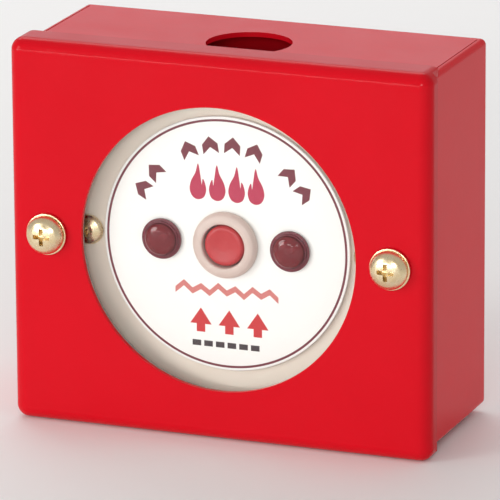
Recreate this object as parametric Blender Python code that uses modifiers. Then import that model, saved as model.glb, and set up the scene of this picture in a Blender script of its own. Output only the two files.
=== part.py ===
"""Manual call point: a surface-mounted, break-glass fire call point in painted sheet steel.

A folded cover lifts off a folded back box.  Behind its round opening are a glass disc, a white
fascia with two lamps and a push button, and behind those a limit switch and a small circuit board.

Frame: the origin is the centre of the wall face, +Z is up, and the front faces -Y.
All sizes in this file are in millimetres, and the helpers turn them into metres.
"""

import math

import bmesh
import bpy
from mathutils import Vector

MM = 0.001
GAP = 0.3  # air left between pieces that touch

# ---- driving sizes ---------------------------------------------------------------------------
COVER_WIDTH = 107.0
COVER_HEIGHT = 95.0
DEPTH = 45.5  # wall face to the front of the cover
SHEET = 1.2
LIP_DEPTH = 9.5  # the cover's top and bottom lips
SIDE_LIP_DEPTH = 5.5
BEND = 3.2  # outer radius of the cover's folds
OPENING_RADIUS = 35.0
BOX_WIDTH = COVER_WIDTH - 2 * (SHEET + 0.4)
BOX_HEIGHT = 91.6
CONDUIT_RADIUS = 10.4
CONDUIT_Y = -23.8

COVER_SCREW_X = 43.8
FASCIA_SCREW_X = 35.8
LAMP_X = 16.4
CLIP_X = 30.8  # the four glass clips sit on the diagonals, at +-CLIP_X in x and z
SLOT_X, SLOT_Z = 40.0, 31.0  # the four wall slots

# ---- depths, along y from the wall face (0) to the front (-DEPTH) ------------------------------
COVER_FRONT = -DEPTH
COVER_INSIDE = COVER_FRONT + SHEET
BOX_FRONT = COVER_INSIDE + BEND - SHEET + GAP  # the rim stops clear of the rounded folds inside the cover
GLASS_FRONT, GLASS_BACK = COVER_INSIDE + GAP, COVER_INSIDE + 1.5
GASKET_FRONT, GASKET_BACK = GLASS_BACK + GAP, GLASS_BACK + 1.1
CLIP_FRONT, CLIP_BACK = GASKET_BACK + GAP, GASKET_BACK + 1.1
PLATE_FRONT, PLATE_BACK = COVER_FRONT + 7.3, COVER_FRONT + 9.3
LABEL_FRONT, LABEL_BACK = COVER_FRONT + 6.0, PLATE_FRONT - GAP
LABEL_RADIUS = 31.4
COLLAR_FRONT = COVER_FRONT + 3.5
LAMP_FRONT, LAMP_BACK = COVER_FRONT + 3.1, COVER_FRONT + 16.5
PILLAR_FRONT = PLATE_BACK + GAP
WALL_INSIDE = -SHEET
PILLAR_FOOT = WALL_INSIDE - GAP
BOARD_FRONT, BOARD_BACK = -9.6, -8.0
BARREL_END = COVER_FRONT + 19.5
STEM_END = COVER_FRONT + 22.3
PLUNGER_TIP = STEM_END + GAP
SWITCH_FRONT, SWITCH_BACK = STEM_END + 3.7, STEM_END + 13.9
COVER_SCREW_END = PILLAR_FRONT + 12.4
BUTTON_TRAVEL = 3.0


# ---- scene and materials -----------------------------------------------------------------------
def clear_scene():
    for old in list(bpy.data.objects):
        bpy.data.objects.remove(old, do_unlink=True)


def new_collection(name):
    made = bpy.data.collections.new(name)
    bpy.context.scene.collection.children.link(made)
    return made


def new_material(name, colour, metallic, roughness, alpha=1.0):
    made = bpy.data.materials.new(name)
    made.use_nodes = True
    shader = made.node_tree.nodes["Principled BSDF"]
    shader.inputs["Base Color"].default_value = (*colour, 1.0)
    shader.inputs["Metallic"].default_value = metallic
    shader.inputs["Roughness"].default_value = roughness
    shader.inputs["Alpha"].default_value = alpha
    made.diffuse_color = (*colour, alpha)
    return made


clear_scene()
PARTS = new_collection("manual_call_point")
CUTTERS = new_collection("cutters")

RED_PAINT = new_material("red_paint", (0.68, 0.02, 0.03), 0.0, 0.22)
WHITE_PAINT = new_material("white_paint", (0.86, 0.83, 0.76), 0.0, 0.45)
LABEL_WHITE = new_material("label_white", (0.93, 0.91, 0.88), 0.0, 0.35)
YELLOW_ZINC = new_material("yellow_zinc", (0.76, 0.60, 0.32), 1.0, 0.32)
ZINC = new_material("zinc", (0.68, 0.69, 0.71), 1.0, 0.35)
BRASS = new_material("brass", (0.78, 0.60, 0.27), 1.0, 0.30)
GLASS = new_material("glass", (0.92, 0.97, 0.95), 0.0, 0.03, alpha=0.15)
FOAM = new_material("foam", (0.62, 0.58, 0.52), 0.0, 0.95)
COLLAR_GREY = new_material("collar_grey", (0.80, 0.76, 0.73), 0.0, 0.4)
BUTTON_RED = new_material("button_red", (0.66, 0.04, 0.05), 0.0, 0.35)
LAMP_RED = new_material("lamp_red", (0.16, 0.01, 0.02), 0.0, 0.12)
SWITCH_BLACK = new_material("switch_black", (0.03, 0.03, 0.035), 0.0, 0.45)
PLUNGER_WHITE = new_material("plunger_white", (0.85, 0.83, 0.78), 0.0, 0.4)
BOARD_GREEN = new_material("board_green", (0.03, 0.22, 0.08), 0.0, 0.4)
TERMINAL_GREEN = new_material("terminal_green", (0.05, 0.35, 0.16), 0.0, 0.45)
RESISTOR_TAN = new_material("resistor_tan", (0.72, 0.55, 0.36), 0.0, 0.5)
WIRE_RED = new_material("wire_red", (0.60, 0.03, 0.03), 0.0, 0.45)
WIRE_BLACK = new_material("wire_black", (0.02, 0.02, 0.02), 0.0, 0.45)


# ---- shape helpers -----------------------------------------------------------------------------
def place(name, data, material, location, rotation=(0.0, 0.0, 0.0), parent=None):
    """Make an object at a place in millimetres.  With no material it is a cutter."""
    made = bpy.data.objects.new(name, data)
    made.location = Vector(location) * MM
    made.rotation_euler = rotation
    made.parent = parent
    if material is None:
        CUTTERS.objects.link(made)
        made.hide_render = True
        made.display_type = "WIRE"
    else:
        PARTS.objects.link(made)
        data.materials.append(material)
    return made


def mesh_from(name, bm, smooth=False):
    mesh = bpy.data.meshes.new(name)
    bm.to_mesh(mesh)
    bm.free()
    if smooth:
        mesh.shade_smooth()
        mesh.set_sharp_from_angle(angle=math.radians(35))
    return mesh


def cuboid(name, material, low, high, radius=0.0, rounded=None, segments=2, parent=None):
    """A block between two corners.  rounded(edge middle, edge direction) picks its round edges."""
    size = [b - a for a, b in zip(low, high)]
    bm = bmesh.new()
    bmesh.ops.create_cube(bm, size=1.0)
    for vertex in bm.verts:
        vertex.co = Vector([c * s * MM for c, s in zip(vertex.co, size)])
    if radius:
        picked = []
        for edge in bm.edges:
            a, b = (v.co for v in edge.verts)
            if rounded is None or rounded((a + b) / 2, (b - a).normalized()):
                picked.append(edge)
        bmesh.ops.bevel(bm, geom=picked, offset=radius * MM, segments=segments, profile=0.5, affect="EDGES")
    centre = [(a + b) / 2 for a, b in zip(low, high)]
    return place(name, mesh_from(name, bm, smooth=bool(radius)), material, centre, parent=parent)


def along_y(middle, direction):
    return abs(direction.y) > 0.9


def round_bar(name, material, radius, ends, centre, axis="Y", sides=32, parent=None):
    """A cylinder or prism along Y or Z, between two ends on that axis, about centre on the others."""
    bm = bmesh.new()
    length = abs(ends[1] - ends[0])
    bmesh.ops.create_cone(
        bm, cap_ends=True, segments=sides, radius1=radius * MM, radius2=radius * MM, depth=length * MM
    )
    middle = (ends[0] + ends[1]) / 2
    if axis == "Y":
        location, rotation = (centre[0], middle, centre[1]), (math.pi / 2, 0.0, 0.0)
    else:
        location, rotation = (centre[0], centre[1], middle), (0.0, 0.0, 0.0)
    return place(name, mesh_from(name, bm, smooth=sides > 8), material, location, rotation, parent)


def turned(name, material, profile, x=0.0, z=0.0, steps=32, ring=False, parent=None):
    """A shape turned about a line along Y through (x, z).  profile holds (radius, y) from the
    front to the back down the outer side, and for a ring it then comes forward up the bore."""
    points = [(radius * MM, 0.0, -y * MM) for radius, y in profile]
    edges = [(i, i + 1) for i in range(len(points) - 1)]
    if ring:
        edges.append((len(points) - 1, 0))
    mesh = bpy.data.meshes.new(name)
    mesh.from_pydata(points, edges, [])
    made = place(name, mesh, material, (x, 0.0, z), (math.pi / 2, 0.0, 0.0), parent)
    screw = made.modifiers.new("turn", "SCREW")
    screw.axis = "Z"
    screw.steps = screw.render_steps = steps
    screw.use_merge_vertices = True
    screw.merge_threshold = 0.00001
    return made


def smooth_route(stops, per_span=6):
    """Points along a Catmull-Rom curve through the stops."""
    stops = [Vector(stop) for stop in stops]
    ends = [2 * stops[0] - stops[1]] + stops + [2 * stops[-1] - stops[-2]]
    points = []
    for a, b, c, d in zip(ends, ends[1:], ends[2:], ends[3:]):
        for step in range(per_span):
            t = step / per_span
            points.append(
                0.5 * (2 * b + (c - a) * t + (2 * a - 5 * b + 4 * c - d) * t**2
                       + (3 * b - a - 3 * c + d) * t**3)
            )
    return points + [stops[-1]]


def wire(name, material, points, radius, location=(0.0, 0.0, 0.0), widths=None, parent=None):
    """A round wire along points.  widths gives each point's share of the radius."""
    curve = bpy.data.curves.new(name, "CURVE")
    curve.dimensions = "3D"
    curve.bevel_depth = radius * MM
    curve.bevel_resolution = 2
    curve.use_fill_caps = True
    spline = curve.splines.new("POLY")
    spline.points.add(len(points) - 1)
    for index, co in enumerate(points):
        spline.points[index].co = (*(c * MM for c in co), 1.0)
        if widths:
            spline.points[index].radius = widths[index]
    return place(name, curve, material, location, parent=parent)


def cut(target, cutter, operation="DIFFERENCE"):
    boolean = target.modifiers.new(cutter.name, "BOOLEAN")
    boolean.operation = operation
    boolean.solver = "EXACT"
    boolean.object = cutter


def drill(target, radius, ends, centre, axis="Y", sides=32):
    name = f"{target.name}_hole_{len(target.modifiers)}"
    cut(target, round_bar(name, None, radius, ends, centre, axis, sides, parent=target.parent))


def recess(target, centre, face, length, width, depth, cross=True):
    """A driver slot or cross, sunk into a screw's front face at y = face."""
    x, z = centre
    halves = [(length / 2, width / 2)] + ([(width / 2, length / 2)] if cross else [])
    for number, (half_x, half_z) in enumerate(halves):
        low = (x - half_x, face - 1.0, z - half_z)
        high = (x + half_x, face + depth, z + half_z)
        cut(target, cuboid(f"{target.name}_recess_{number}", None, low, high, parent=target.parent))


def joint_empty(name, location):
    made = bpy.data.objects.new(name, None)
    PARTS.objects.link(made)
    made.location = Vector(location) * MM
    return made


# ---- back box ----------------------------------------------------------------------------------
def back_box():
    """The folded tray: four walls and a back, with the conduit entry in its top wall."""
    half_x, half_z = BOX_WIDTH / 2, BOX_HEIGHT / 2
    back_edge = -BOX_FRONT / 2 * MM  # the block's middle is its origin

    def bends(middle, direction):
        return abs(direction.y) > 0.9 or middle.y > back_edge * 0.99

    box = cuboid("back_box", RED_PAINT, (-half_x, BOX_FRONT, -half_z), (half_x, 0.0, half_z), 1.5, bends, 3)
    inner_x, inner_z = half_x - SHEET, half_z - SHEET
    cut(box, cuboid("box_hollow", None, (-inner_x, BOX_FRONT - 5.0, -inner_z),
                    (inner_x, WALL_INSIDE, inner_z), 0.5, along_y, 1))
    for end in (-1, 1):
        # the top and bottom walls step inwards where the cover's lips pass over them
        low, high = sorted((end * (half_z - 0.3), end * (half_z + 1.0)))
        cut(box, cuboid(f"joggle_{end}", None, (-half_x - 1.0, BOX_FRONT - 1.0, low),
                        (half_x + 1.0, COVER_FRONT + LIP_DEPTH + 0.4, high)))
    drill(box, CONDUIT_RADIUS, (half_z - 3.0, half_z + 3.0), (0.0, CONDUIT_Y), "Z", 48)
    for side in (-1, 1):
        for end in (-1, 1):
            x, z = side * SLOT_X, end * SLOT_Z
            cut(box, cuboid(f"wall_slot_{side}_{end}", None, (x - 4.5, -4.0, z - 2.6),
                            (x + 4.5, 3.0, z + 2.6), 2.5, along_y, 5))
            # the open seam where a side wall's fold meets the top or bottom wall
            seam_x, seam_z = side * (half_x - 1.75), end * half_z
            cut(box, cuboid(f"seam_{side}_{end}", None, (seam_x - 0.15, BOX_FRONT - 2.0, seam_z - 0.5),
                            (seam_x + 0.15, -2.5, seam_z + 0.5)))
    for x, z in PILLAR_PLACES + BRACKET_RIVETS:
        drill(box, SPIGOT_RADIUS + GAP, (-4.0, 2.0), (x, z), "Y", 20)
    return box


# ---- pillars, swaged through the back wall ------------------------------------------------------
SPIGOT_RADIUS = 1.8
BOARD_PILLARS = [(-24.0, -33.0), (24.0, -11.0)]
EARTH_PLACE = (-18.0, 30.0)
BRACKET_RIVETS = [(-6.0, 10.0), (6.0, 10.0)]
PILLAR_PLACES = (
    [(side * COVER_SCREW_X, 0.0) for side in (-1, 1)]
    + [(side * FASCIA_SCREW_X, 0.0) for side in (-1, 1)]
    + BOARD_PILLARS
    + [EARTH_PLACE]
)


def pillar(name, material, centre, radius, front, bore, bore_end, steps):
    """A spacer with a blind threaded bore in front and a spigot swaged through the back wall."""
    return turned(
        name, material,
        [(radius, front), (radius, PILLAR_FOOT), (SPIGOT_RADIUS, PILLAR_FOOT), (SPIGOT_RADIUS, -0.2),
         (0.0, -0.2), (0.0, bore_end), (bore, bore_end), (bore, front)],
        *centre, steps=steps, ring=True,
    )


def pillars():
    for side, word in ((-1, "left"), (1, "right")):
        hex_pillar = round_bar(f"cover_pillar_{word}", ZINC, 4.0 / math.cos(math.pi / 6),
                               (PILLAR_FRONT, PILLAR_FOOT), (side * COVER_SCREW_X, 0.0), sides=6)
        spigot = round_bar(f"cover_spigot_{word}", None, SPIGOT_RADIUS, (PILLAR_FOOT - 2.0, -0.2),
                           (side * COVER_SCREW_X, 0.0), sides=20)
        cut(hex_pillar, spigot, "UNION")
        drill(hex_pillar, 2.75, (PILLAR_FRONT - 2.0, COVER_SCREW_END + 1.5), (side * COVER_SCREW_X, 0.0), sides=24)
        pillar(f"fascia_pillar_{word}", ZINC, (side * FASCIA_SCREW_X, 0.0), 2.6, PILLAR_FRONT, 1.8,
               PLATE_FRONT + 11.0, 24)
    for number, centre in enumerate(BOARD_PILLARS, 1):
        pillar(f"board_pillar_{number}", ZINC, centre, 2.6, BOARD_BACK + GAP, 1.5, -3.0, 20)


# ---- fascia ------------------------------------------------------------------------------------
def fascia():
    """The white plate and its printed disc, with holes for the button, the lamps and the screws."""
    plate = cuboid("fascia_plate", WHITE_PAINT, (-49.0, PLATE_FRONT, -40.0), (49.0, PLATE_BACK, 40.0),
                   3.0, along_y, 4)
    label = turned("label_disc", LABEL_WHITE,
                   [(0.0, LABEL_FRONT), (LABEL_RADIUS, LABEL_FRONT), (LABEL_RADIUS, LABEL_BACK),
                    (0.0, LABEL_BACK)],
                   steps=72)
    for piece, ends in ((plate, (PLATE_FRONT - 1.0, PLATE_BACK + 1.0)),
                        (label, (LABEL_FRONT - 1.0, LABEL_BACK + 1.0))):
        drill(piece, 6.9, ends, (0.0, 0.0), sides=32)
        for side in (-1, 1):
            drill(piece, 4.7, ends, (side * LAMP_X, 0.0), sides=24)
    for side, word in ((-1, "left"), (1, "right")):
        ends = (PLATE_FRONT - 1.0, PLATE_BACK + 1.0)
        drill(plate, 2.9, ends, (side * COVER_SCREW_X, 0.0), sides=24)
        drill(plate, 1.8, ends, (side * FASCIA_SCREW_X, 0.0), sides=20)
        head = PLATE_FRONT - GAP
        screw = turned(f"fascia_screw_{word}", YELLOW_ZINC,
                       [(0.0, head - 1.9), (1.6, head - 1.85), (3.1, head - 1.3), (3.7, head - 0.5),
                        (3.7, head), (1.5, head), (1.5, head + 10.0), (0.0, head + 10.0)],
                       side * FASCIA_SCREW_X, steps=20)
        recess(screw, (side * FASCIA_SCREW_X, 0.0), head - 1.9, 3.4, 0.8, 1.1)


def lamps():
    """Two indicator lamps: a dark red lens on a threaded barrel, held by a nut behind the plate."""
    for side, word in ((-1, "left"), (1, "right")):
        x = side * LAMP_X
        seat = LABEL_FRONT - GAP
        turned(f"lamp_{word}", LAMP_RED,
               [(0.0, LAMP_FRONT), (2.2, LAMP_FRONT + 0.1), (3.6, LAMP_FRONT + 0.4),
                (4.3, LAMP_FRONT + 1.0), (4.4, seat - 0.6), (5.0, seat - 0.6), (5.0, seat),
                (4.4, seat), (4.4, LAMP_BACK), (0.0, LAMP_BACK)], x, steps=24)
        nut = round_bar(f"lamp_nut_{word}", ZINC, 6.5 / math.cos(math.pi / 6),
                        (PILLAR_FRONT, PILLAR_FRONT + 2.2), (x, 0.0), sides=6)
        drill(nut, 4.7, (PILLAR_FRONT - 1.0, PILLAR_FRONT + 4.0), (x, 0.0), sides=24)


# ---- push button -------------------------------------------------------------------------------
def button():
    """A collar and barrel through the plate, and a sprung button whose stem works the switch."""
    seat = LABEL_FRONT - GAP
    turned("button_barrel", COLLAR_GREY,
           [(5.7, COLLAR_FRONT), (6.5, COLLAR_FRONT), (8.1, COLLAR_FRONT + 1.0), (8.2, seat), (6.6, seat),
            (6.6, BARREL_END), (1.8, BARREL_END), (1.8, BARREL_END - 1.5), (5.4, BARREL_END - 1.5),
            (5.4, COLLAR_FRONT + 0.3)],
           steps=32, ring=True)
    nut_back = PILLAR_FRONT + 3.0
    nut = round_bar("barrel_nut", ZINC, 8.5 / math.cos(math.pi / 6), (PILLAR_FRONT, nut_back), (0.0, 0.0),
                    sides=6)
    drill(nut, 6.9, (PILLAR_FRONT - 1.0, nut_back + 1.0), (0.0, 0.0), sides=32)
    moving = joint_empty("button_joint", (0.0, 0.0, 0.0))
    cap_front, cap_back = COLLAR_FRONT + 0.4, COLLAR_FRONT + 3.8
    groove_front, groove_back = BARREL_END + 0.2, BARREL_END + 1.2
    turned("push_button", BUTTON_RED,
           [(0.0, cap_front), (4.2, cap_front), (4.8, cap_front + 0.4), (5.05, cap_front + 1.0),
            (5.05, cap_back), (1.5, cap_back), (1.5, groove_front), (1.0, groove_front),
            (1.0, groove_back), (1.5, groove_back), (1.5, STEM_END), (0.0, STEM_END)],
           steps=28, parent=moving)
    turned("stem_clip", ZINC,
           [(3.1, groove_front + GAP), (3.1, groove_back - 0.2), (1.25, groove_back - 0.2),
            (1.25, groove_front + GAP)], steps=24, ring=True, parent=moving)
    button_spring(cap_back + GAP, BARREL_END - 1.5 - GAP)


def button_spring(front, back):
    """A helix between the cap and the barrel's end wall, with closed turns at both ends."""
    wire_radius, coil_radius, turns, per_turn = 0.35, 3.8, 5, 11
    first, last = front + wire_radius, back - wire_radius
    points = []
    for step in range(turns * per_turn + 1):
        share = step / (turns * per_turn)
        # the rise eases in and out, so that the end turns lie flat
        eased = share - math.sin(2 * math.pi * share) / (2 * math.pi) * 0.75
        angle = 2 * math.pi * turns * share
        points.append((coil_radius * math.cos(angle), first + (last - first) * eased,
                       coil_radius * math.sin(angle)))
    wire("button_spring", ZINC, points, wire_radius)


# ---- switch ------------------------------------------------------------------------------------
def switch():
    """A limit switch on a folded bracket, with its plunger just behind the button's stem."""
    foot_front = WALL_INSIDE - GAP - 1.0
    leg_low, leg_high = 3.9, 4.9
    bracket = cuboid("switch_bracket", ZINC, (-9.5, SWITCH_FRONT + 1.0, leg_low), (9.5, WALL_INSIDE - GAP, leg_high))
    foot = cuboid("bracket_foot", None, (-9.5, foot_front, leg_low), (9.5, WALL_INSIDE - GAP, 14.0))
    cut(bracket, foot, "UNION")
    for number, (x, z) in enumerate(BRACKET_RIVETS, 1):
        drill(bracket, SPIGOT_RADIUS + GAP, (foot_front - 2.0, WALL_INSIDE + 1.0), (x, z), sides=20)
        turned(f"bracket_rivet_{number}", ZINC,
               [(0.0, foot_front - 1.3), (1.6, foot_front - 1.2), (2.6, foot_front - 0.6),
                (2.8, foot_front - GAP), (SPIGOT_RADIUS, foot_front - GAP), (SPIGOT_RADIUS, -0.2),
                (0.0, -0.2)], x, z, steps=20)
    body_low, body_high = -2.8, leg_low - GAP
    body = cuboid("switch_body", SWITCH_BLACK, (-9.9, SWITCH_FRONT, body_low), (9.9, SWITCH_BACK, body_high),
                  0.4, None, 1)
    drill(body, 1.5, (SWITCH_FRONT - 1.0, PLUNGER_TIP + 6.9 + BUTTON_TRAVEL + 0.4), (0.0, 0.0), sides=20)
    hole_y = SWITCH_BACK - 2.6
    for side, word in ((-1, "left"), (1, "right")):
        x = side * 4.75
        for piece in (body, bracket):
            drill(piece, 1.3, (body_low - 1.0, leg_high + 1.0), (x, hole_y), "Z", 16)
        head = body_low - GAP
        screw = round_bar(f"switch_screw_{word}", ZINC, 1.0, (head - 0.5, leg_high + 2.2), (x, hole_y), "Z", 16)
        cut(screw, round_bar(f"switch_screw_head_{word}", None, 1.9, (head - 1.3, head), (x, hole_y), "Z", 20),
            "UNION")
        slot = cuboid(f"switch_screw_slot_{word}", None, (x - 3.0, hole_y - 0.25, head - 2.0),
                      (x + 3.0, hole_y + 0.25, head - 0.7))
        cut(screw, slot)
        nut = round_bar(f"switch_nut_{word}", ZINC, 2.0 / math.cos(math.pi / 6),
                        (leg_high + GAP, leg_high + GAP + 1.5), (x, hole_y), "Z", 6)
        drill(nut, 1.3, (leg_high, leg_high + 3.0), (x, hole_y), "Z", 16)
    moving = joint_empty("plunger_joint", (0.0, 0.0, 0.0))
    turned("switch_plunger", PLUNGER_WHITE,
           [(0.0, PLUNGER_TIP), (0.9, PLUNGER_TIP), (1.2, PLUNGER_TIP + 0.4), (1.2, PLUNGER_TIP + 6.9),
            (0.0, PLUNGER_TIP + 6.9)], steps=20, parent=moving)


# ---- circuit board -----------------------------------------------------------------------------
TERMINAL_PITCH = 5.5


def circuit():
    """The board on its two pillars, with the line terminals and the end-of-line resistor."""
    board = cuboid("circuit_board", BOARD_GREEN, (-28.0, BOARD_FRONT, -37.0), (28.0, BOARD_BACK, -7.0),
                   1.0, along_y, 2)
    for number, (x, z) in enumerate(BOARD_PILLARS, 1):
        drill(board, 1.5, (BOARD_FRONT - 1.0, BOARD_BACK + 1.0), (x, z), sides=16)
        head = BOARD_FRONT - GAP
        screw = turned(f"board_screw_{number}", ZINC,
                       [(0.0, head - 1.6), (1.5, head - 1.5), (2.3, head - 0.8), (2.3, head), (1.2, head),
                        (1.2, -3.6), (0.0, -3.6)], x, z, steps=20)
        recess(screw, (x, z), head - 1.6, 2.6, 0.6, 0.9)
    low = (-2 * TERMINAL_PITCH - 1.0, BOARD_FRONT - GAP - 9.5, -35.0)
    high = (2 * TERMINAL_PITCH + 1.0, BOARD_FRONT - GAP, -25.0)
    block = cuboid("terminal_block", TERMINAL_GREEN, low, high, 0.4, None, 1)
    for number in range(4):
        x = (number - 1.5) * TERMINAL_PITCH
        drill(block, 1.9, (low[1] - 1.0, low[1] + 6.2), (x, -31.0), sides=14)
        drill(block, 1.2, (low[2] - 1.0, low[2] + 5.0), (x, low[1] + 7.9), "Z", 12)
        screw = round_bar(f"terminal_screw_{number + 1}", BRASS, 1.6, (low[1] + 0.5, low[1] + 5.0),
                          (x, -31.0), sides=14)
        recess(screw, (x, -31.0), low[1] + 0.5, 4.0, 0.5, 0.8, cross=False)
    lead, body = 0.25, 1.0
    wire("line_resistor", RESISTOR_TAN,
         [(-20.0, BOARD_FRONT - GAP, -17.0), (-20.0, BOARD_FRONT - 2.0, -17.0),
          (-19.4, BOARD_FRONT - 2.6, -17.0), (-16.6, BOARD_FRONT - 2.6, -17.0),
          (-16.0, BOARD_FRONT - 2.6, -17.0), (-10.0, BOARD_FRONT - 2.6, -17.0),
          (-9.4, BOARD_FRONT - 2.6, -17.0), (-6.6, BOARD_FRONT - 2.6, -17.0),
          (-6.0, BOARD_FRONT - 2.0, -17.0), (-6.0, BOARD_FRONT - GAP, -17.0)],
         1.2, widths=[lead, lead, lead, lead, body, body, lead, lead, lead, lead])


def wiring():
    """Insulated wires from the board to the lamps and the switch, and the earth stud."""
    start = BOARD_FRONT - GAP
    for side, word, colour in ((-1, "left", WIRE_RED), (1, "right", WIRE_BLACK)):
        lamp = [(side * 20.0, start, -22.0), (side * 20.3, -14.0, -22.0), (side * 22.5, -20.0, -16.0),
                (side * 20.5, -24.0, -6.0), (side * (LAMP_X + 1.0), -26.7, -1.5),
                (side * LAMP_X, LAMP_BACK + GAP, 0.0)]
        wire(f"lamp_wire_{word}", colour, smooth_route(lamp, 4), 0.7)
        tag = [(side * 11.0, start, -12.0), (side * 11.2, -12.5, -11.6), (side * 12.4, -14.5, -6.5),
               (side * 12.6, -14.8, -2.0), (side * 11.2, -14.8, 0.5)]
        wire(f"switch_wire_{word}", colour, smooth_route(tag, 4), 0.7)
    pillar("earth_stud", BRASS, EARTH_PLACE, 2.0, -12.0, 0.4, -11.0, 20)
    nut = round_bar("earth_nut", BRASS, 3.5 / math.cos(math.pi / 6), (-7.0, -4.0), EARTH_PLACE, sides=6)
    drill(nut, 2.0 + GAP, (-8.0, -3.0), EARTH_PLACE, sides=20)


# ---- cover -------------------------------------------------------------------------------------
def cover():
    """The folded front cover with its opening, and the glass disc held behind it."""
    moving = joint_empty("cover_joint", (0.0, 0.0, 0.0))
    half_x, half_z = COVER_WIDTH / 2, COVER_HEIGHT / 2
    lip_back = COVER_FRONT + LIP_DEPTH
    front_edge = -LIP_DEPTH / 2 * MM

    def bends(middle, direction):
        return abs(direction.y) > 0.9 or middle.y < front_edge * 0.99

    shell = cuboid("front_cover", RED_PAINT, (-half_x, COVER_FRONT, -half_z), (half_x, lip_back, half_z),
                   BEND, bends, 4, moving)
    inner_x, inner_z = half_x - SHEET, half_z - SHEET
    cut(shell, cuboid("cover_hollow", None, (-inner_x, COVER_INSIDE, -inner_z),
                      (inner_x, lip_back + 5.0, inner_z), BEND - SHEET, bends, 3, moving))
    relief_slope = 0.25  # how far each lip's end is set back, for each millimetre of lip
    corner_inset = BEND * (1 - math.sqrt(0.5))
    for side in (-1, 1):
        # the side lips are shallower than the top and bottom ones
        low, high = sorted((side * (half_x - SHEET - 0.2), side * (half_x + 1.0)))
        cut(shell, cuboid(f"side_lip_end_{side}", None, (low, COVER_FRONT + SIDE_LIP_DEPTH, -half_z - 1.0),
                          (high, lip_back + 1.0, half_z + 1.0), parent=moving))
        for end in (-1, 1):
            away = Vector((side, relief_slope, end)).normalized()
            corner = Vector((side * (half_x - corner_inset), COVER_FRONT + 3.2, end * (half_z - corner_inset)))
            relief = cuboid(f"corner_relief_{side}_{end}", None, (-20, -20, 0), (20, 20, 20), parent=moving)
            relief.rotation_euler = away.to_track_quat("Z", "Y").to_euler()
            relief.location = (corner + away * 10.0) * MM
            cut(shell, relief)
            stud = round_bar(f"clip_stud_{side}_{end}", None, 1.5, (COVER_INSIDE - 0.5, PLATE_FRONT - 0.7),
                             (side * CLIP_X, end * CLIP_X), sides=20, parent=moving)
            cut(shell, stud, "UNION")
    drill(shell, OPENING_RADIUS, (COVER_FRONT - 2.0, COVER_INSIDE + 2.0), (0.0, 0.0), sides=96)
    for side in (-1, 1):
        drill(shell, 2.9, (COVER_FRONT - 2.0, COVER_INSIDE + 2.0), (side * COVER_SCREW_X, 0.0), sides=24)
    glass(moving)
    for side, word in ((-1, "left"), (1, "right")):
        cover_screw(side, word)


def glass(moving):
    turned("glass_disc", GLASS,
           [(0.0, GLASS_FRONT), (37.5, GLASS_FRONT), (37.5, GLASS_BACK), (0.0, GLASS_BACK)], steps=64,
           parent=moving)
    turned("glass_gasket", FOAM,
           [(37.5, GASKET_FRONT), (37.5, GASKET_BACK), (35.9, GASKET_BACK), (35.9, GASKET_FRONT)],
           steps=48, ring=True, parent=moving)
    number = 0
    for side in (-1, 1):
        for end in (-1, 1):
            number += 1
            outward = math.atan2(end, side)
            clip = cuboid(f"glass_clip_{number}", ZINC, (-5.0, CLIP_FRONT, -3.5), (5.0, CLIP_BACK, 3.5),
                          1.0, along_y, 2, moving)
            # the clip's long way points at the middle of the glass
            clip.rotation_euler = (0.0, -outward, 0.0)
            middle = Vector((side, 0.0, end)).normalized() * 1.8
            clip.location = Vector((side * CLIP_X - middle.x, (CLIP_FRONT + CLIP_BACK) / 2,
                                    end * CLIP_X - middle.z)) * MM
            drill(clip, 1.8, (CLIP_FRONT - 1.0, CLIP_BACK + 1.0), (side * CLIP_X, end * CLIP_X), sides=20)
            nut = round_bar(f"clip_nut_{number}", ZINC, 2.75 / math.cos(math.pi / 6),
                            (CLIP_BACK + 0.2, CLIP_BACK + 1.4), (side * CLIP_X, end * CLIP_X), sides=6,
                            parent=moving)
            drill(nut, 1.8, (CLIP_BACK - 1.0, CLIP_BACK + 3.0), (side * CLIP_X, end * CLIP_X), sides=20)


def cover_screw(side, word):
    """A pan-head screw on its washer.  It turns about its own line, and comes forward as it turns."""
    x = side * COVER_SCREW_X
    moving = joint_empty(f"cover_screw_{word}_joint", (x, 0.0, 0.0))
    washer_front = COVER_FRONT - GAP - 0.7
    washer = turned(f"cover_washer_{word}", YELLOW_ZINC,
                    [(5.1, washer_front), (5.1, washer_front + 0.7), (2.8, washer_front + 0.7),
                     (2.8, washer_front)], steps=28, ring=True, parent=moving)
    head = washer_front - GAP
    screw = turned(f"cover_screw_{word}", YELLOW_ZINC,
                   [(0.0, head - 2.9), (2.0, head - 2.8), (3.6, head - 2.2), (4.5, head - 1.2),
                    (4.75, head - 0.3), (4.75, head), (2.4, head), (2.4, COVER_SCREW_END - 0.7),
                    (1.7, COVER_SCREW_END), (0.0, COVER_SCREW_END)], steps=24, parent=moving)
    for piece in (washer, screw):
        piece.location = (0.0, 0.0, 0.0)
    recess(screw, (0.0, 0.0), head - 2.9, 5.2, 1.2, 1.8)


back_box()
pillars()
fascia()
lamps()
button()
switch()
circuit()
wiring()
cover()
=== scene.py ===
import math

import bmesh
import bpy
from mathutils import Matrix, Vector


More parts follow.
